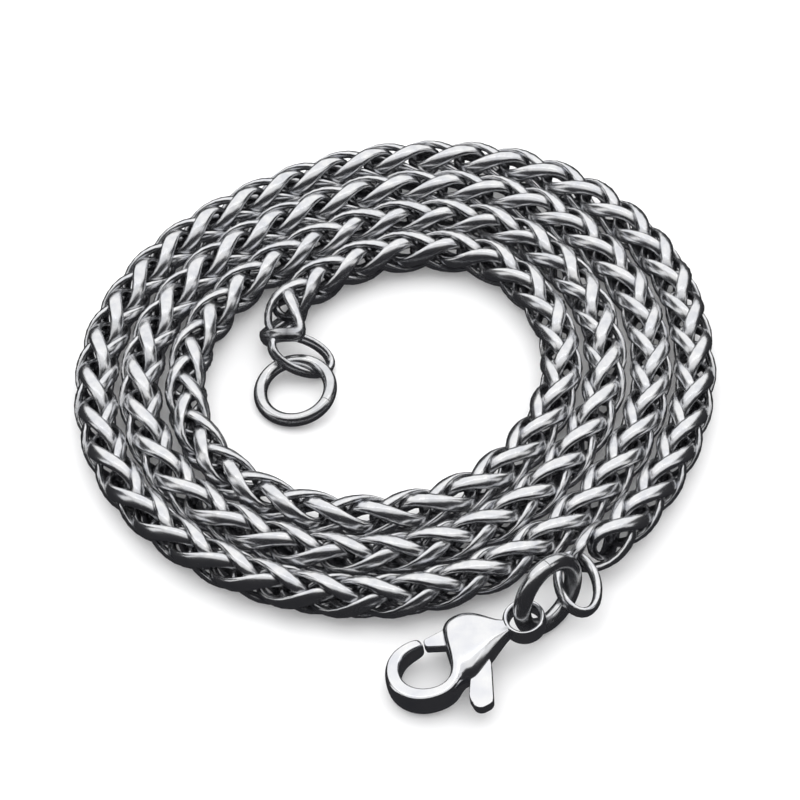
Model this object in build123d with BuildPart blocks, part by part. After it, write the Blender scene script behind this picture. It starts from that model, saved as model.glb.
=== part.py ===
from build123d import *
from math import cos, degrees, pi, radians, sin, tan
import os

# A wheat chain necklace of polished steel, laid down unclasped as a flat inward
# spiral. Millimetres, +Z up, the floor at Z 0, the origin under the middle of
# the footprint.

# Chain: the smooth core that the woven links wrap, and the oval link at each end
chain_core = 4.0
loop_wire = 0.84

# Jump rings: mean radius, wire thickness, place of the middle, and the saw cut
# left in each
clasp_ring_radius = 3.25
clasp_ring_wire = 1.6
clasp_ring_x = 13.07
clasp_ring_y = -23.97
end_ring_radius = 3.38
end_ring_wire = 1.3
end_ring_x = -10.0
end_ring_y = 2.0
ring_seam = 0.06

# How far the middle of each end loop lies from the middle of its jump ring
outer_loop_past_ring_x = 2.78
outer_loop_past_ring_y = 1.97
inner_loop_past_ring_x = 0.5
inner_loop_past_ring_y = 3.9

# How far the chain's outer end lies from the middle of its end loop
chain_past_loop_x = -0.2207
chain_past_loop_y = 2.2772

# Lobster clasp: cast body, lever in its slot, pin through both
body_thickness = 2.7
body_edge = 0.38
eye_radius = 1.75
eye_bore = 1.37
eye_thickness = 1.8
lever_thickness = 1.1
lever_gap = 0.1
lever_edge = 0.12
pin_radius = 0.5
pin_length = 2.1
pin_gap = 0.03
clasp_tilt = 7.4
clasp_heading = 207.5

# Middle of the spiral, measured before the whole is centred on its footprint
coil_x = -0.4
coil_y = 3.6

# Route of the chain: direction in degrees and distance from the middle of the
# spiral, for the corners that the tube's arcs round off, and how far the outer
# end is held up by the ring that it hangs on. The route starts in the outer end
# loop, before the first of these points.
route = [
    (311, 28.6, 0.7), (325, 28.1, 0.1), (341, 28.3),
    (2, 29.3), (30, 31.1), (60, 31.5), (90, 29.1), (120, 27.3), (150, 28.3),
    (180, 29.7), (210, 29.8), (240, 28.6), (270, 27.5), (300, 25.3), (330, 24.3),
    (0, 25.3), (30, 26.4), (60, 27.0), (90, 24.8), (120, 23.0), (150, 23.8),
    (180, 25.3), (210, 25.5), (240, 24.2), (270, 22.7), (300, 20.9), (330, 19.9),
    (0, 20.8), (30, 21.8), (60, 22.6), (90, 20.6), (120, 18.7), (150, 19.4),
    (180, 20.8), (210, 21.1), (240, 19.9), (270, 18.0), (300, 16.5), (330, 15.6),
    (0, 16.4), (30, 17.2), (60, 18.0), (90, 16.0), (112, 14.5), (132, 13.9),
    (146.8, 13.35), (159.8, 11.9),
]

# Middle of the outer end loop, which lies across the clasp ring's far side
outer_loop_centre = (
    clasp_ring_x + outer_loop_past_ring_x,
    clasp_ring_y + outer_loop_past_ring_y,
    2.9,
)

# The chain otherwise runs flat on the floor
route_points = [
    (
        outer_loop_centre[0] + chain_past_loop_x,
        outer_loop_centre[1] + chain_past_loop_y,
        chain_core / 2 + 1.0,
    )
]
route_points += [
    (
        coil_x + distance * cos(radians(direction)),
        coil_y + distance * sin(radians(direction)),
        chain_core / 2 + sum(rise),
    )
    for direction, distance, *rise in route
]

# Each corner takes the largest arc that its two straight runs allow
corner_radii = []
for before, corner, after in zip(route_points, route_points[1:], route_points[2:]):
    run_in = Vector(*corner) - Vector(*before)
    run_out = Vector(*after) - Vector(*corner)
    shorter_run = min(run_in.length, run_out.length)
    half_turn = radians(run_in.get_angle(run_out) / 2)
    corner_radii.append(0.45 * shorter_run / tan(half_turn))
print("arc radii", [round(radius, 1) for radius in corner_radii])

# End loops: centre, half length and half width of the wire's middle line, and
# the heading and slopes of the plane that each lies in. The inner one lies
# across the end ring's far side.
outer_loop_half_length = 3.1
outer_loop_half_width = 1.85
outer_loop_plane = Plane(
    origin=outer_loop_centre, x_dir=(0.1, -1, -0.12), z_dir=(0.22, -0.05, 1)
)
inner_loop_centre = (
    end_ring_x + inner_loop_past_ring_x,
    end_ring_y + inner_loop_past_ring_y,
    1.9,
)
inner_loop_half_length = 3.2
inner_loop_half_width = 1.8
inner_loop_plane = Plane(
    origin=inner_loop_centre, x_dir=(-1, 0.07, 0.48), z_dir=(0.48, -0.25, 1)
)

# Chain
with BuildPart() as chain:
    with BuildLine() as chain_path:
        FilletPolyline(*route_points, radius=corner_radii)
    with BuildSketch(chain_path.line ^ 0):
        Circle(chain_core / 2)
    sweep(path=chain_path.line)
    tube_volume = chain.part.volume
    for loop_plane, half_length, half_width in (
        (outer_loop_plane, outer_loop_half_length, outer_loop_half_width),
        (inner_loop_plane, inner_loop_half_length, inner_loop_half_width),
    ):
        straight = half_length - half_width
        with BuildLine(loop_plane) as loop_path:
            Line((-straight, -half_width), (straight, -half_width))
            ThreePointArc((straight, -half_width), (half_length, 0), (straight, half_width))
            Line((straight, half_width), (-straight, half_width))
            ThreePointArc((-straight, half_width), (-half_length, 0), (-straight, -half_width))
        with BuildSketch(loop_path.line ^ 0):
            Circle(loop_wire / 2)
        sweep(path=loop_path.line)
chain.part.label = "chain"
tube_section = pi * (chain_core / 2) ** 2
chain_length = chain_path.wires()[0].length
print("chain length", round(chain_length, 1))
print("tube volume over section times length", tube_volume / (tube_section * chain_length))

# Clasp ring: stands on its edge, through the outer end loop and the clasp's eye
clasp_ring_lean = 79.2
clasp_ring_heading = 44.5
clasp_ring_across = Vector(cos(radians(clasp_ring_heading)), sin(radians(clasp_ring_heading)), 0)
clasp_ring_up = Vector(
    -sin(radians(clasp_ring_heading)) * cos(radians(clasp_ring_lean)),
    cos(radians(clasp_ring_heading)) * cos(radians(clasp_ring_lean)),
    sin(radians(clasp_ring_lean)),
)
clasp_ring_axis = clasp_ring_across.cross(clasp_ring_up)
clasp_ring_centre = Vector(
    clasp_ring_x,
    clasp_ring_y,
    clasp_ring_wire / 2 + clasp_ring_radius * sin(radians(clasp_ring_lean)),
)
clasp_seam_angle = 87
clasp_seam_direction = clasp_ring_across * cos(radians(clasp_seam_angle)) + clasp_ring_up * sin(
    radians(clasp_seam_angle)
)
with BuildPart() as clasp_ring:
    section = Plane(
        origin=clasp_ring_centre,
        x_dir=clasp_seam_direction,
        z_dir=clasp_seam_direction.cross(clasp_ring_axis),
    )
    with BuildSketch(section):
        with Locations((clasp_ring_radius, 0)):
            Circle(clasp_ring_wire / 2)
    revolve(
        axis=Axis(clasp_ring_centre, clasp_ring_axis),
        revolution_arc=360 - degrees(ring_seam / clasp_ring_radius),
    )
clasp_ring.part.label = "clasp_ring"

# End ring: lies nearly flat, its far side raised on the inner end loop
end_ring_slope = 10
end_ring_slope_heading = 40.5
end_ring_rise = Vector(
    cos(radians(end_ring_slope_heading)) * cos(radians(end_ring_slope)),
    sin(radians(end_ring_slope_heading)) * cos(radians(end_ring_slope)),
    sin(radians(end_ring_slope)),
)
end_ring_across = Vector(
    -sin(radians(end_ring_slope_heading)), cos(radians(end_ring_slope_heading)), 0
)
end_ring_axis = end_ring_rise.cross(end_ring_across)
end_ring_centre = Vector(
    end_ring_x,
    end_ring_y,
    end_ring_wire / 2 + end_ring_radius * sin(radians(end_ring_slope)),
)
end_seam_angle = -68
end_seam_direction = end_ring_rise * cos(radians(end_seam_angle)) + end_ring_across * sin(
    radians(end_seam_angle)
)
with BuildPart() as end_ring:
    section = Plane(
        origin=end_ring_centre,
        x_dir=end_seam_direction,
        z_dir=end_seam_direction.cross(end_ring_axis),
    )
    with BuildSketch(section):
        with Locations((end_ring_radius, 0)):
            Circle(end_ring_wire / 2)
    revolve(
        axis=Axis(end_ring_centre, end_ring_axis),
        revolution_arc=360 - degrees(ring_seam / end_ring_radius),
    )
end_ring.part.label = "end_ring"

# Clasp frame: origin where the ring's wire passes the eye, X from eye to hook
eye_angle = 196.2
eye_centre = (
    clasp_ring_centre
    + clasp_ring_across * (clasp_ring_radius * cos(radians(eye_angle)))
    + clasp_ring_up * (clasp_ring_radius * sin(radians(eye_angle)))
)
clasp_plane = Plane(
    origin=eye_centre,
    x_dir=(
        cos(radians(clasp_heading)) * cos(radians(clasp_tilt)),
        sin(radians(clasp_heading)) * cos(radians(clasp_tilt)),
        -sin(radians(clasp_tilt)),
    ),
    z_dir=(
        cos(radians(clasp_heading)) * sin(radians(clasp_tilt)),
        sin(radians(clasp_heading)) * sin(radians(clasp_tilt)),
        cos(radians(clasp_tilt)),
    ),
)
pivot = (5.4, -1.2)

# Clasp outline: corner and rounding, from the hook's tip round the outside to
# the neck, back over the shoulder and round the inside of the hook
body_outline = [
    (8.9, -3.0, 0.5), (11.7, -3.1, 2.2), (13.75, -0.9, 1.6), (13.75, 1.7, 1.6),
    (11.6, 3.6, 2.2), (8.4, 3.5, 1.2), (7.45, 2.75, 0.6), (6.2, 3.0, 1.0),
    (2.6, 0.95, 0.8), (1.3, 0.8, 0.45), (1.3, -1.1, 0.45), (2.3, -1.15, 0.6),
    (3.6, -3.4, 1.6), (6.2, -3.45, 1.2), (7.05, -2.1, 0.5), (7.35, -0.5, 2.0),
    (8.2, 2.15, 0.9), (10.3, 2.3, 1.2), (12.15, 1.3, 1.0), (12.1, -0.9, 1.3),
    (10.8, -1.9, 1.2), (8.9, -1.9, 0.5),
]
lever_outline = [
    (8.75, -2.78, 0.4), (8.75, -1.98, 0.3), (7.15, -1.1, 0.5), (6.55, 0.3, 0.6),
    (6.9, 2.7, 1.0), (7.95, 4.4, 1.0), (7.95, 6.0, 0.75), (6.35, 6.0, 0.75),
    (4.6, 2.4, 1.0), (4.2, 0.0, 0.8), (4.1, -1.4, 0.6), (4.9, -2.6, 0.6),
    (6.6, -2.78, 0.6),
]
# Slot for the lever: clear of it shut, and of its whole swing
slot_outline = [
    (8.3, -3.3), (8.3, 0.3), (7.2, 0.3), (7.0, 0.8), (7.12, 2.6), (7.3, 3.9),
    (2.2, 3.9), (2.95, 1.7), (3.35, 0.6), (3.6, -0.5), (3.85, -1.9), (4.6, -2.9),
    (6.4, -2.92), (6.5, -3.3),
]

# Clasp body
with BuildPart() as clasp_body:
    with BuildSketch(clasp_plane.offset(-body_thickness / 2)):
        with BuildLine():
            FilletPolyline(
                *[(u, v) for u, v, _ in body_outline],
                radius=[rounding for _, _, rounding in body_outline],
                close=True,
            )
        make_face()
    extrude(amount=body_thickness)
    rims = clasp_body.faces().filter_by(Axis(eye_centre, clasp_plane.z_dir))
    fillet(rims.edges(), body_edge)
    with BuildSketch(clasp_plane.offset(-eye_thickness / 2)):
        Circle(eye_radius)
    extrude(amount=eye_thickness)
    with BuildSketch(clasp_plane.offset(-body_thickness / 2)):
        Circle(eye_bore)
    extrude(amount=body_thickness, mode=Mode.SUBTRACT)
    slot_height = lever_thickness + 2 * lever_gap
    with BuildSketch(clasp_plane.offset(-slot_height / 2)):
        with BuildLine():
            Polyline(*slot_outline, close=True)
        make_face()
    extrude(amount=slot_height, mode=Mode.SUBTRACT)
    with BuildSketch(clasp_plane.offset(-pin_length / 2 - pin_gap)):
        with Locations(pivot):
            Circle(pin_radius + pin_gap)
    extrude(amount=pin_length + 2 * pin_gap, mode=Mode.SUBTRACT)
clasp_body.part.label = "clasp_body"

# Clasp lever: gate, hub and thumb tab in one piece
with BuildPart() as clasp_lever:
    with BuildSketch(clasp_plane.offset(-lever_thickness / 2)):
        with BuildLine():
            FilletPolyline(
                *[(u, v) for u, v, _ in lever_outline],
                radius=[rounding for _, _, rounding in lever_outline],
                close=True,
            )
        make_face()
    extrude(amount=lever_thickness)
    rims = clasp_lever.faces().filter_by(Axis(eye_centre, clasp_plane.z_dir))
    fillet(rims.edges(), lever_edge)
    with BuildSketch(clasp_plane.offset(-lever_thickness / 2)):
        with Locations(pivot):
            Circle(pin_radius + 2 * pin_gap)
    extrude(amount=lever_thickness, mode=Mode.SUBTRACT)
clasp_lever.part.label = "clasp_lever"

# Clasp pin
with BuildPart() as clasp_pin:
    with BuildSketch(clasp_plane.offset(-pin_length / 2)):
        with Locations(pivot):
            Circle(pin_radius)
    extrude(amount=pin_length)
clasp_pin.part.label = "clasp_pin"

# Centre the footprint on the origin and write each piece
pieces = [chain, clasp_ring, clasp_body, clasp_lever, clasp_pin, end_ring]
os.makedirs("parts", exist_ok=True)
low_x = min(piece.part.bounding_box().min.X for piece in pieces)
high_x = max(piece.part.bounding_box().max.X for piece in pieces)
low_y = min(piece.part.bounding_box().min.Y for piece in pieces)
high_y = max(piece.part.bounding_box().max.Y for piece in pieces)
to_footprint = Location((-(low_x + high_x) / 2, -(low_y + high_y) / 2, 0))
print("footprint middle", (low_x + high_x) / 2, (low_y + high_y) / 2)
for piece in pieces:
    label = piece.part.label
    placed = piece.part.moved(to_footprint)
    placed.label = label
    export_step(placed, f"parts/{label}.step")
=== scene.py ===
import math

import bmesh
import bpy
from mathutils import Matrix, Vector


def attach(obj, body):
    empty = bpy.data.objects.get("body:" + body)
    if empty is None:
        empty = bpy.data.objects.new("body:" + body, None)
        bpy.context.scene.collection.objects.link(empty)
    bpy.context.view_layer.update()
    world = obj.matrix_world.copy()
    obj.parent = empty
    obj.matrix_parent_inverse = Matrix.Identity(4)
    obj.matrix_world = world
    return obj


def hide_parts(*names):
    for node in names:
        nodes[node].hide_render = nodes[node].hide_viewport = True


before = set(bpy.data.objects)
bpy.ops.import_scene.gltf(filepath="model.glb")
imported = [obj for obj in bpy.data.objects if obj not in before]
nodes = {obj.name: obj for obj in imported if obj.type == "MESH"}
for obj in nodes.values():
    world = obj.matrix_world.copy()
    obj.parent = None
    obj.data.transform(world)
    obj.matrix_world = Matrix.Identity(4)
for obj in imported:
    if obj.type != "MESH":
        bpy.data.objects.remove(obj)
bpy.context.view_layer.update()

# A polished steel wheat chain, unclasped and laid down in a flat inward spiral, in the
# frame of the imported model. Lengths are in millimetres where a note doesn't say metres.

mm = 0.001
footprintShift = Vector((0.3326, 0.4467, 0)) * mm  # the part is centred on its footprint

print("camera and light")

shot = {
    "target": (0.3326, 0.4467, 2.175),
    "elevation": 50,  # degrees
    "distance": 250,
    "lens": 118.69,
    "sensor": 36,
    "nearest": 0.01,  # metres
}
cameraData = bpy.data.cameras.new("camera")
cameraData.lens = shot["lens"]
cameraData.sensor_width = shot["sensor"]
cameraData.clip_start = shot["nearest"]
camera = bpy.data.objects.new("camera", cameraData)
bpy.context.scene.collection.objects.link(camera)
tilt = math.radians(shot["elevation"])
outward = Vector((0, -math.cos(tilt), math.sin(tilt)))
camera.location = (Vector(shot["target"]) + outward * shot["distance"]) * mm
camera.rotation_euler = (math.pi / 2 - tilt, 0, 0)
bpy.context.scene.camera = camera
bpy.context.scene.view_settings.view_transform = "Standard"


# Soft boxes round the table: heading and height in degrees, distance, width and
# depth in metres, strength in watts
softBoxes = {
    "back": (90, 45, 0.6, 1.3, 0.84, 3.85),
    "top": (270, 87, 0.6, 0.8, 0.36, 0.82),
    "left": (186, 34, 0.7, 0.2, 0.5, 0.34),
    "right": (-4, 40, 0.7, 0.16, 0.45, 0.22),
}


def addSoftBox(name, heading, height, distance, width, depth, watts):
    lamp = bpy.data.lights.new(name, "AREA")
    lamp.shape = "RECTANGLE"
    lamp.size = width
    lamp.size_y = depth
    lamp.energy = watts
    box = bpy.data.objects.new(name, lamp)
    bpy.context.scene.collection.objects.link(box)
    head, rise = math.radians(heading), math.radians(height)
    level = math.cos(rise)
    place = Vector((math.cos(head) * level, math.sin(head) * level, math.sin(rise)))
    box.location = place * distance
    box.rotation_euler = place.to_track_quat("Z", "Y").to_euler()


for boxName, settings in softBoxes.items():
    addSoftBox(boxName, *settings)


# Shader nodes: a flow is one output socket, and sums and products of flows add Math nodes
class Flow:
    def __init__(self, bench, socket):
        self.bench = bench
        self.socket = socket

    def maths(self, operation, first, second):
        node = self.bench.add("ShaderNodeMath", {"operation": operation}, {0: first, 1: second})
        return self.bench.flow(node, "Value")

    def __add__(self, other):
        return self.maths("ADD", self, other)

    def __radd__(self, other):
        return self.maths("ADD", other, self)

    def __mul__(self, other):
        return self.maths("MULTIPLY", self, other)

    def __rmul__(self, other):
        return self.maths("MULTIPLY", other, self)


class Bench:
    def __init__(self, name):
        self.material = bpy.data.materials.new(name)
        self.material.use_nodes = True
        self.tree = self.material.node_tree
        self.tree.nodes.clear()

    def add(self, kind, settings, inputs):
        node = self.tree.nodes.new(kind)
        for key, value in settings.items():
            if key == "stops":
                self.setStops(node.color_ramp, value)
            else:
                setattr(node, key, value)
        for key, value in inputs.items():
            if isinstance(value, Flow):
                self.tree.links.new(value.socket, node.inputs[key])
            else:
                node.inputs[key].default_value = value
        return node

    def setStops(self, ramp, stops):
        while len(ramp.elements) < len(stops):
            ramp.elements.new(0.5)
        for element, (place, shade) in zip(ramp.elements, stops):
            element.position = place
            element.color = (*shade, 1)

    def flow(self, node, output):
        return Flow(self, node.outputs[output])

    def noise(self, spot, scale, detail, stretch=(1, 1, 1)):
        mapped = self.add("ShaderNodeMapping", {}, {"Vector": spot, "Scale": stretch})
        texture = self.add(
            "ShaderNodeTexNoise",
            {},
            {"Vector": self.flow(mapped, "Vector"), "Scale": scale, "Detail": detail},
        )
        return self.flow(texture, "Fac")

    def ramp(self, factor, stops):
        node = self.add("ShaderNodeValToRGB", {"stops": stops}, {"Fac": factor})
        return self.flow(node, "Color")

    def blend(self, factor, first, second):
        node = self.add("ShaderNodeMix", {"data_type": "RGBA"}, {0: factor, 6: first, 7: second})
        return Flow(self, node.outputs[2])


# What the three steels share: noise detail, where the clouds turn cool and warm, and
# the scuffs' share of the bump
steelGrain = {"cloudDetail": 3, "scuffDetail": 4, "coolBelow": 0.3, "warmAbove": 0.7, "scuffBump": 0.3}


# Polished steel: pale, with faint cool and warm clouds, fine scuffs in its gloss
# and, deep in the weave, painted shade: a near-black colour blended in towards the chain's core
def makeSteel(name, look):
    bench = Bench(name)
    spot = bench.flow(bench.add("ShaderNodeTexCoord", {}, {}), "Object")
    clouds = bench.noise(spot, look["cloudScale"], steelGrain["cloudDetail"])
    scuffs = bench.noise(spot, look["scuffScale"], steelGrain["scuffDetail"], look["scuffStretch"])
    stops = [(steelGrain["coolBelow"], look["cool"]), (steelGrain["warmAbove"], look["warm"])]
    shade = bench.ramp(clouds, stops)
    # painted shade: the colour is blended towards a near-black one at the chain's core, where the
    # weave shades itself
    if look["recess"]:
        recess = bench.flow(bench.add("ShaderNodeAttribute", {"attribute_name": "recess"}, {}), "Fac")
        shade = bench.blend(recess * look["recess"], shade, (*look["shadeColour"], 1))
    roughness = look["roughness"] + scuffs * look["roughSpread"]
    bump = bench.add(
        "ShaderNodeBump",
        {},
        {
            "Strength": look["bump"],
            "Distance": look["bumpDepth"],
            "Height": clouds + scuffs * steelGrain["scuffBump"],
        },
    )
    shader = bench.add(
        "ShaderNodeBsdfPrincipled",
        {},
        {
            "Base Color": shade,
            "Metallic": 1.0,
            "Roughness": roughness,
            "Normal": bench.flow(bump, "Normal"),
        },
    )
    bench.add("ShaderNodeOutputMaterial", {}, {"Surface": bench.flow(shader, "BSDF")})
    return bench.material


# Noise scales are per metre and the bump's depth is in metres
wovenLook = {
    "cloudScale": 900,
    "scuffScale": 5000,
    "scuffStretch": (1, 1, 1),
    "cool": (0.66, 0.67, 0.70),
    "warm": (0.80, 0.80, 0.80),
    # painted shade in the weave's core: how strong it is, and its near-black colour
    "recess": 0.85,
    "shadeColour": (0.12, 0.12, 0.13),
    "roughness": 0.18,
    "roughSpread": 0.12,
    "bump": 0.12,
    "bumpDepth": 0.00003,
}
castLook = {
    "cloudScale": 420,
    "scuffScale": 4000,
    "scuffStretch": (1, 0.25, 1),
    "cool": (0.70, 0.71, 0.75),
    "warm": (0.84, 0.84, 0.84),
    "recess": 0,
    "roughness": 0.12,
    "roughSpread": 0.10,
    "bump": 0.10,
    "bumpDepth": 0.00006,
}
drawnLook = {
    "cloudScale": 600,
    "scuffScale": 5000,
    "scuffStretch": (1, 1, 0.3),
    "cool": (0.62, 0.63, 0.65),
    "warm": (0.76, 0.76, 0.76),
    "recess": 0,
    "roughness": 0.14,
    "roughSpread": 0.14,
    "bump": 0.15,
    "bumpDepth": 0.00004,
}
wovenSteel = makeSteel("wovenSteel", wovenLook)
castSteel = makeSteel("castSteel", castLook)
drawnSteel = makeSteel("drawnSteel", drawnLook)


def linkPiece(name, mesh, material):
    piece = bpy.data.objects.new(name, mesh)
    bpy.context.scene.collection.objects.link(piece)
    mesh.materials.append(material)
    return piece


def addSmoothing(piece, levels):
    smoother = piece.modifiers.new("smooth", "SUBSURF")
    smoother.levels = levels
    smoother.render_levels = levels


def meshFrom(bm, name):
    mesh = bpy.data.meshes.new(name)
    bm.to_mesh(mesh)
    bm.free()
    for face in mesh.polygons:
        face.use_smooth = True
    return mesh


print("room and table")

room = {
    "light": (0.92, 0.92, 0.93, 1),
    "mirrored": (0.03, 0.03, 0.033, 1),  # what gloss shows between the soft boxes
    "tableColour": (0.85, 0.85, 0.85, 1),
    "tableGlow": 0.12,
    "tableReach": 3,  # metres each way from the middle
}
bpy.context.scene.world = bpy.data.worlds.new("room")
world = bpy.context.scene.world
world.use_nodes = True
roomNodes = world.node_tree.nodes
roomRay = roomNodes.new("ShaderNodeLightPath")
roomShade = roomNodes.new("ShaderNodeMix")
roomShade.data_type = "RGBA"
roomShade.inputs[6].default_value = room["light"]
roomShade.inputs[7].default_value = room["mirrored"]
world.node_tree.links.new(roomRay.outputs["Is Glossy Ray"], roomShade.inputs[0])
world.node_tree.links.new(roomShade.outputs[2], roomNodes["Background"].inputs["Color"])

tableBench = Bench("paleTable")
tableShader = tableBench.add(
    "ShaderNodeBsdfPrincipled",
    {},
    {
        "Base Color": room["tableColour"],
        "Roughness": 0.9,
        "Specular IOR Level": 0.1,
        "Emission Color": (1, 1, 1, 1),
        "Emission Strength": room["tableGlow"],
    },
)
tableBench.add("ShaderNodeOutputMaterial", {}, {"Surface": tableBench.flow(tableShader, "BSDF")})
tableBm = bmesh.new()
bmesh.ops.create_grid(tableBm, x_segments=2, y_segments=2, size=room["tableReach"])
table = linkPiece("table", meshFrom(tableBm, "table"), tableBench.material)
table.visible_glossy = False

print("route of the chain")

# Direction in degrees and distance in metres from the middle of the spiral, outer
# end first, and how far the jump ring holds that end up
coilMiddle = Vector((-0.4, 3.6, 0)) * mm + footprintShift
route = [
    (304.5, 0.0283, 0.0010), (311, 0.0286, 0.0007), (325, 0.0281, 0.0001), (341, 0.0283),
    (2, 0.0293), (30, 0.0311), (60, 0.0315), (90, 0.0291), (120, 0.0273), (150, 0.0283),
    (180, 0.0297), (210, 0.0298), (240, 0.0286), (270, 0.0275), (300, 0.0253), (330, 0.0243),
    (0, 0.0253), (30, 0.0264), (60, 0.0270), (90, 0.0248), (120, 0.0230), (150, 0.0238),
    (180, 0.0253), (210, 0.0255), (240, 0.0242), (270, 0.0227), (300, 0.0209), (330, 0.0199),
    (0, 0.0208), (30, 0.0218), (60, 0.0226), (90, 0.0206), (120, 0.0187), (150, 0.0194),
    (180, 0.0208), (210, 0.0211), (240, 0.0199), (270, 0.0180), (300, 0.0165), (330, 0.0156),
    (0, 0.0164), (30, 0.0172), (60, 0.0180), (90, 0.0160), (112, 0.0145), (132, 0.0139),
    (146.8, 0.01335), (159.8, 0.0119),
]

weave = {
    "linkHalfLength": 3.8,
    "linkHalfWidth": 1.85,
    "bandWidth": 1.95,
    "endWidth": 1.15,  # the wire is flattest along a link's sides
    "bandThickness": 0.95,
    "pinch": 1.0,  # 1 is a plain oval, and less is blunter
    "spacing": 2.33,
    "twist": 0.32,  # radians for each millimetre along the chain
    "lift": 2.22,
    "firstLink": 3.5,
    "lastLink": 1.9,
    "shadeFrom": 0.92,  # shares of the half width where the painted shade begins
    "shadeOver": 0.55,  # and over which it deepens, towards the middle
}
# The last link lies loose over the end link: it bends up, is less twisted,
# broader and blunter, and its end is drawn to one side
looseEnd = {
    "bend": 0.30,  # radians for each millimetre, as the twist
    "twist": 0.2,
    "halfWidth": 2.15,
    "endWidth": 1.6,
    "thickness": 1.1,
    "pinch": 0.75,
    "aside": 1.1,
}

# How far the chain has rolled over on itself: distance along it in mm, degrees
rolls = [
    (0, -20), (30, -20), (60, 10), (75, 25), (100, 25), (125, 62), (140, 100), (160, 133),
    (185, 160), (220, 180), (255, 205), (285, 240), (300, 275), (315, 305), (330, 320),
    (345, 325), (380, 350), (405, 370), (425, 350), (450, 345), (480, 350), (500, 361),
    (520, 361),
]

curve = bpy.data.curves.new("route", "CURVE")
curve.dimensions = "3D"
curve.resolution_u = 12
spline = curve.splines.new("NURBS")
spline.points.add(len(route) - 1)
for point, (direction, distance, *rise) in zip(spline.points, route):
    angle = math.radians(direction)
    place = coilMiddle + Vector((math.cos(angle), math.sin(angle), 0)) * distance
    point.co = (place.x, place.y, weave["lift"] * mm + sum(rise), 1)
spline.order_u = 3
spline.use_endpoint_u = True
routeObject = bpy.data.objects.new("route", curve)
bpy.context.scene.collection.objects.link(routeObject)
bpy.context.view_layer.update()
routeMesh = bpy.data.meshes.new_from_object(routeObject)
path = [vertex.co.copy() for vertex in routeMesh.vertices]
bpy.data.objects.remove(routeObject)
bpy.data.meshes.remove(routeMesh)
travelled = [0.0]
for before, after in zip(path, path[1:]):
    travelled.append(travelled[-1] + (after - before).length)
pathLength = travelled[-1]
print("route length", round(pathLength, 4))


# The middle of the chain and the way that it runs, at a distance along it in metres
def along(distance):
    if distance <= 0:
        ahead = (path[1] - path[0]).normalized()
        return path[0] + ahead * distance, ahead
    if distance >= pathLength:
        ahead = (path[-1] - path[-2]).normalized()
        return path[-1] + ahead * (distance - pathLength), ahead
    step = min(int(distance / pathLength * (len(path) - 1)), len(path) - 2)
    while travelled[step] > distance:
        step -= 1
    while travelled[step + 1] < distance:
        step += 1
    share = (distance - travelled[step]) / (travelled[step + 1] - travelled[step])
    headings = []
    for corner in (step, step + 1):
        low, high = max(corner - 1, 0), min(corner + 1, len(path) - 1)
        headings.append((path[high] - path[low]).normalized())
    ahead = headings[0].lerp(headings[1], share).normalized()
    return path[step].lerp(path[step + 1], share), ahead


def rollAt(distance):
    place = distance / mm
    for (low, lowRoll), (high, highRoll) in zip(rolls, rolls[1:]):
        if place <= high:
            share = max(0, place - low) / (high - low)
            share = share * share * (3 - 2 * share)
            return math.radians(lowRoll + (highRoll - lowRoll) * share)
    return math.radians(rolls[-1][1])


print("woven chain")


# Corners of the flattened wire, before they are smoothed: out and across, as
# shares of its thickness and width
bandCorners = [(0.62, 0), (0.2, 0.58), (-0.45, 0.3), (-0.45, -0.3), (0.2, -0.58)]
linkSteps = 14
spunRadius = 4  # for the spin alone: drawing out the oval takes it off again


# One link of flattened wire, lying in XY round the origin: a band spun into a
# ring, then drawn out to the oval
def makeLink(halfLength, halfWidth, bandWidth, endWidth, bandThickness, pinch=1):
    halfLength, halfWidth = halfLength * mm, halfWidth * mm
    bandWidth, endWidth, bandThickness = bandWidth * mm, endWidth * mm, bandThickness * mm
    bm = bmesh.new()
    section = bmesh.ops.create_circle(bm, segments=len(bandCorners), radius=1)["verts"]
    for vertex, (out, across) in zip(section, bandCorners):
        vertex.co = Vector((spunRadius + out, 0, across))
    bmesh.ops.spin(
        bm, geom=section + bm.edges[:], cent=(0, 0, 0), axis=(0, 0, 1), angle=2 * math.pi,
        steps=linkSteps, use_merge=True,
    )
    bmesh.ops.remove_doubles(bm, verts=bm.verts, dist=1e-5)
    for vertex in bm.verts:
        turn = math.atan2(vertex.co.y, vertex.co.x)
        out = math.hypot(vertex.co.x, vertex.co.y) - spunRadius
        across = vertex.co.z
        bulge = math.copysign(abs(math.sin(turn)) ** pinch, math.sin(turn))
        middle = Vector((halfLength * math.cos(turn), halfWidth * bulge, 0))
        facing = Vector((math.cos(turn) / halfLength, math.sin(turn) / halfWidth, 0)).normalized()
        vertex.co = middle + facing * (out * bandThickness)
        vertex.co.z = across * (endWidth + (bandWidth - endWidth) * math.sin(turn) ** 2)
    bmesh.ops.recalc_face_normals(bm, faces=bm.faces)
    mesh = bpy.data.meshes.new("link")
    bm.to_mesh(mesh)
    bm.free()
    return mesh


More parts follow.
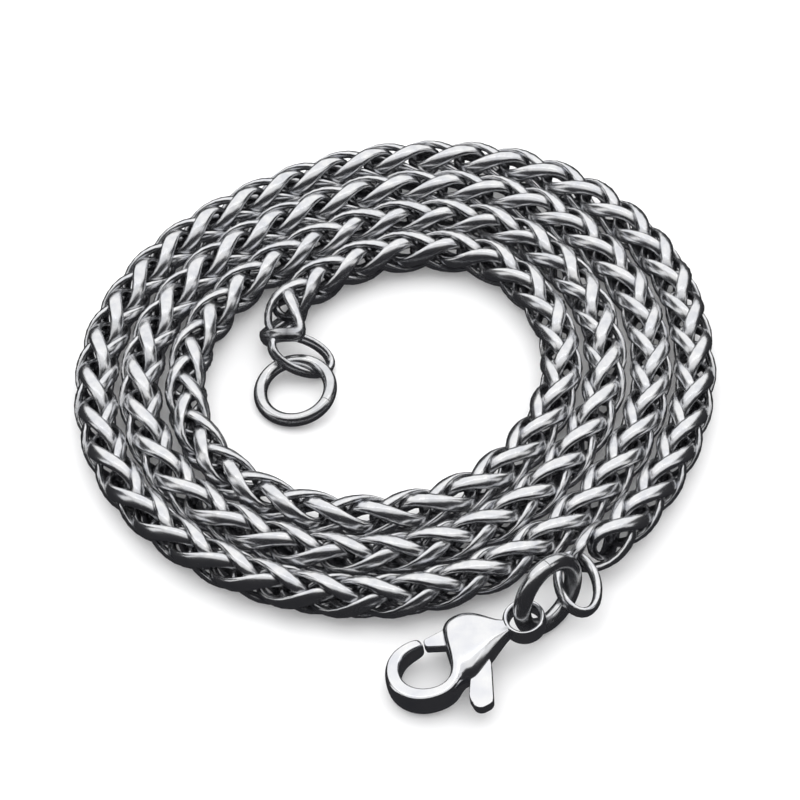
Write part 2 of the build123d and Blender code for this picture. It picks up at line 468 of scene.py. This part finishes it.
wovenLink = makeLink(
    weave["linkHalfLength"], weave["linkHalfWidth"], weave["bandWidth"], weave["endWidth"],
    weave["bandThickness"], weave["pinch"],
)
lastWovenLink = makeLink(
    weave["linkHalfLength"], looseEnd["halfWidth"], weave["bandWidth"], looseEnd["endWidth"],
    looseEnd["thickness"], looseEnd["pinch"],
)
chainBm = bmesh.new()
recessShadeLayer = chainBm.verts.layers.float.new("recess")
firstMiddle = weave["firstLink"] * mm
lastMiddle = pathLength - weave["lastLink"] * mm
linkCount = round((lastMiddle - firstMiddle) / (weave["spacing"] * mm)) + 1
linkStep = (lastMiddle - firstMiddle) / (linkCount - 1)
print("links", linkCount, "step", round(linkStep / mm, 3))
upward = Vector((0, 0, 1))
for number in range(linkCount):
    middle = firstMiddle + linkStep * number
    start = len(chainBm.verts)
    isLast = number == linkCount - 1
    chainBm.from_mesh(lastWovenLink if isLast else wovenLink)
    chainBm.verts.ensure_lookup_table()
    # every other link lies across its neighbours and twists the other way
    slant = -1 if number % 2 == 0 else 1
    quarter = 0 if number % 2 == 0 else math.pi / 2
    roll = rollAt(middle) + math.pi / 4
    for vertex in chainBm.verts[start:]:
        x, y, z = vertex.co
        twist = looseEnd["twist"] if isLast and x > 0 else weave["twist"]
        turn = roll + quarter + slant * twist * x / mm
        across = y * math.cos(turn) - z * math.sin(turn)
        rise = y * math.sin(turn) + z * math.cos(turn)
        if isLast and x > 0:
            bend = looseEnd["bend"] * x / mm
            place, ahead = along(middle)
            sideways = upward.cross(ahead)
            radius = mm / looseEnd["bend"]
            place += ahead * (radius * math.sin(bend)) + upward * (radius * (1 - math.cos(bend)))
            place += sideways * (looseEnd["aside"] * mm * math.sin(bend) ** 2)
            over = upward * math.cos(bend) - ahead * math.sin(bend)
            vertex.co = place + sideways * across + over * rise
        else:
            place, ahead = along(middle + x)
            vertex.co = place + upward.cross(ahead) * across + upward * rise
        # painted shade: full at the chain's core, fading to none towards its outside
        reach = math.hypot(across, rise) / (weave["linkHalfWidth"] * mm)
        vertex[recessShadeLayer] = min(1, max(0, (weave["shadeFrom"] - reach) / weave["shadeOver"]))
bpy.data.meshes.remove(wovenLink)
bpy.data.meshes.remove(lastWovenLink)

# The last link at each end hangs free of the weave and carries the jump ring
endWire = {"width": 1.4, "thickness": 0.95}
outerEndLink = {
    "middle": (15.85, -22.0, 2.9),
    "halfLength": 3.1,
    "halfWidth": 1.85,
    "lengthwise": (0.1, -1, -0.12),
    "facing": (0.22, -0.05, 1),
}
innerEndLink = {
    "middle": (-9.5, 5.9, 1.9),
    "halfLength": 3.2,
    "halfWidth": 1.8,
    "lengthwise": (-1, 0.07, 0.48),
    "facing": (0.48, -0.25, 1),
}
for endLink in (outerEndLink, innerEndLink):
    looseLink = makeLink(
        endLink["halfLength"], endLink["halfWidth"], endWire["width"], endWire["width"],
        endWire["thickness"],
    )
    start = len(chainBm.verts)
    chainBm.from_mesh(looseLink)
    bpy.data.meshes.remove(looseLink)
    chainBm.verts.ensure_lookup_table()
    out = Vector(endLink["facing"]).normalized()
    first = Vector(endLink["lengthwise"])
    first = (first - out * first.dot(out)).normalized()
    second = out.cross(first)
    middle = Vector(endLink["middle"]) * mm + footprintShift
    for vertex in chainBm.verts[start:]:
        x, y, z = vertex.co
        vertex.co = middle + first * x + second * y + out * z
wovenChain = linkPiece("wovenChain", meshFrom(chainBm, "wovenChain"), wovenSteel)
addSmoothing(wovenChain, 1)
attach(wovenChain, "necklace")
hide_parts("chain")

print("clasp")

# The jump ring that holds the clasp, and how the clasp hangs on it. Angles in degrees
claspFrame = {
    "ringCentre": (13.07, -23.97, 0.8),  # from above, and the height where its wire starts
    "ringRadius": 3.25,
    "ringLean": 79.2,
    "ringHeading": 44.5,
    "eyeAngle": 196.2,  # place of the eye round the ring
    "heading": 207.5,
    "tilt": 7.4,
}


# The clasp's own frame: the origin in its eye, X from eye to hook, Z up through its back
def findClaspMatrix(setup):
    heading, lean = math.radians(setup["ringHeading"]), math.radians(setup["ringLean"])
    across = Vector((math.cos(heading), math.sin(heading), 0))
    flat = math.cos(lean)
    up = Vector((-math.sin(heading) * flat, math.cos(heading) * flat, math.sin(lean)))
    centre = Vector(setup["ringCentre"]) + Vector((0, 0, setup["ringRadius"] * math.sin(lean)))
    eye = math.radians(setup["eyeAngle"])
    origin = centre + (across * math.cos(eye) + up * math.sin(eye)) * setup["ringRadius"]
    turn, tip = math.radians(setup["heading"]), math.radians(setup["tilt"])
    level, steep = math.cos(tip), math.sin(tip)
    xAxis = Vector((math.cos(turn) * level, math.sin(turn) * level, -steep))
    zAxis = Vector((math.cos(turn) * steep, math.sin(turn) * steep, level))
    yAxis = zAxis.cross(xAxis)
    turned = Matrix((xAxis, yAxis, zAxis)).transposed().to_4x4()
    return Matrix.Translation(origin * mm + footprintShift) @ turned @ Matrix.Scale(mm, 4)


claspMatrix = findClaspMatrix(claspFrame)

# The cast body, from the neck over its domed back and round the hook to the tip:
# place of the upper and lower side of each cut, half thickness, crown of the dome
bodyCuts = [
    ((1.35, -0.85), (1.35, 0.62), 0.70, 0.00),
    ((1.75, -0.98), (1.75, 0.68), 0.80, 0.00),
    ((2.25, -1.35), (2.35, 0.88), 0.95, 0.05),
    ((2.85, -2.15), (3.05, 1.28), 1.12, 0.12),
    ((3.6, -3.0), (3.9, 1.72), 1.25, 0.22),
    ((4.5, -3.48), (4.75, 2.18), 1.32, 0.28),
    ((5.5, -3.55), (5.6, 2.6), 1.35, 0.30),
    ((6.4, -3.25), (6.3, 2.95), 1.35, 0.28),
    ((7.0, -2.4), (6.8, 3.02), 1.35, 0.25),
    ((7.32, -1.2), (7.2, 2.92), 1.35, 0.20),
    ((7.55, 0.0), (7.6, 2.9), 1.35, 0.15),
    ((7.9, 1.1), (8.0, 3.08), 1.35, 0.10),
    ((8.4, 1.9), (8.55, 3.42), 1.35, 0.05),
    ((9.2, 2.26), (9.35, 3.66), 1.33, 0.0),
    ((10.1, 2.22), (10.5, 3.62), 1.32, 0.0),
    ((11.1, 1.78), (11.9, 3.2), 1.30, 0.0),
    ((11.85, 1.0), (13.1, 2.15), 1.28, 0.0),
    ((12.15, 0.1), (13.7, 0.6), 1.26, 0.0),
    ((12.0, -0.75), (13.5, -0.95), 1.25, 0.0),
    ((11.5, -1.4), (12.75, -2.15), 1.24, 0.0),
    ((10.8, -1.82), (11.75, -2.85), 1.22, 0.0),
    ((10.0, -1.95), (10.6, -3.12), 1.18, 0.0),
    ((9.2, -1.98), (9.45, -3.12), 1.05, 0.0),
    ((8.85, -2.1), (8.88, -2.95), 0.75, 0.0),
]


# How the casting's edges are rounded. The rounding is in mm, and grows with the width
# of the cut up to the widest
castEdge = {
    "widest": 1.0,
    "start": 0.1,
    "growth": 0.2,
    "shoulderDrop": 0.22,  # share of the half thickness for each mm of rounding
    "shoulderAt": 0.4,  # share of the rounding
    "rimIn": 0.05,
    "rimDrop": 0.25,
    "underDome": 0.6,  # share of the dome on the underside
}


# Places of a cut's sixteen corners: how far in from its nearer side, in mm, and
# the share of its half thickness, from the upper side over the back to the lower
def shapeCut(upper, lower, halfThickness, crown):
    near, far = Vector(upper), Vector(lower)
    width = (far - near).length
    over = (far - near) / width
    soft = min(castEdge["widest"], castEdge["start"] + width * castEdge["growth"])
    shoulder = 1 - castEdge["shoulderDrop"] * soft
    rise, rim = castEdge["shoulderAt"] * soft, castEdge["rimIn"]
    low = shoulder - castEdge["rimDrop"]
    places = [
        (0, 0), (rim, low), (rise, shoulder), (soft, 1),
        (width / 2, 1),
        (width - soft, 1), (width - rise, shoulder), (width - rim, low), (width, 0),
    ]
    dome = [0, 0, 0.25, 0.6, 1, 0.6, 0.25, 0, 0]
    corners = []
    for (inward, share), bulge in zip(places, dome):
        spot = near + over * inward
        corners.append(Vector((spot.x, spot.y, share * halfThickness + bulge * crown)))
    for (inward, share), bulge in list(zip(places, dome))[-2:0:-1]:
        spot = near + over * inward
        depth = share * halfThickness + bulge * crown * castEdge["underDome"]
        corners.append(Vector((spot.x, spot.y, -depth)))
    return corners


claspBm = bmesh.new()
loop = bmesh.ops.create_circle(claspBm, segments=16, radius=1, cap_ends=True)["verts"]
for vertex, corner in zip(loop, shapeCut(*bodyCuts[0])):
    vertex.co = corner
edges = claspBm.edges[:]
for cut in bodyCuts[1:]:
    grown = bmesh.ops.extrude_edge_only(claspBm, edges=edges)["geom"]
    ring = [item for item in grown if isinstance(item, bmesh.types.BMVert)]
    # a fresh loop keeps the order of the loop that it grew from
    for vertex, corner in zip(ring, shapeCut(*cut)):
        vertex.co = corner
    edges = [item for item in grown if isinstance(item, bmesh.types.BMEdge) and item.is_boundary]
bmesh.ops.contextual_create(claspBm, geom=edges)
bmesh.ops.recalc_face_normals(claspBm, faces=claspBm.faces)
print("open edges", sum(edge.is_boundary for edge in claspBm.edges))

# The eye: a squat ring that the neck grows out of
eye = {
    "radius": 1.66,
    "halfWide": 0.33,
    "halfHigh": 0.98,
    "square": 0.6,  # 1 leaves its section oval, and less squares it off
    "steps": 24,
}
eyeBm = bmesh.new()
eyeSection = bmesh.ops.create_circle(eyeBm, segments=8, radius=1)["verts"]
for vertex in eyeSection:
    wide, high = (math.copysign(abs(share) ** eye["square"], share) for share in vertex.co.xy)
    vertex.co = Vector((eye["radius"] + wide * eye["halfWide"], 0, high * eye["halfHigh"]))
bmesh.ops.spin(
    eyeBm, geom=eyeSection + eyeBm.edges[:], cent=(0, 0, 0), axis=(0, 0, 1),
    angle=2 * math.pi, steps=eye["steps"], use_merge=True,
)
bmesh.ops.remove_doubles(eyeBm, verts=eyeBm.verts, dist=1e-4)
bmesh.ops.recalc_face_normals(eyeBm, faces=eyeBm.faces)
eyeMesh = bpy.data.meshes.new("eye")
eyeBm.to_mesh(eyeMesh)
eyeBm.free()
claspBm.from_mesh(eyeMesh)
bpy.data.meshes.remove(eyeMesh)
bmesh.ops.transform(claspBm, matrix=claspMatrix, verts=claspBm.verts)
castBody = linkPiece("castBody", meshFrom(claspBm, "castBody"), castSteel)
addSmoothing(castBody, 2)
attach(castBody, "necklace")
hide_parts("clasp_body")

print("rings, lever and pin")

for nodeName, material in (
    ("clasp_ring", drawnSteel),
    ("end_ring", drawnSteel),
    ("clasp_lever", castSteel),
    ("clasp_pin", castSteel),
):
    for slot in nodes[nodeName].material_slots:
        slot.material = material
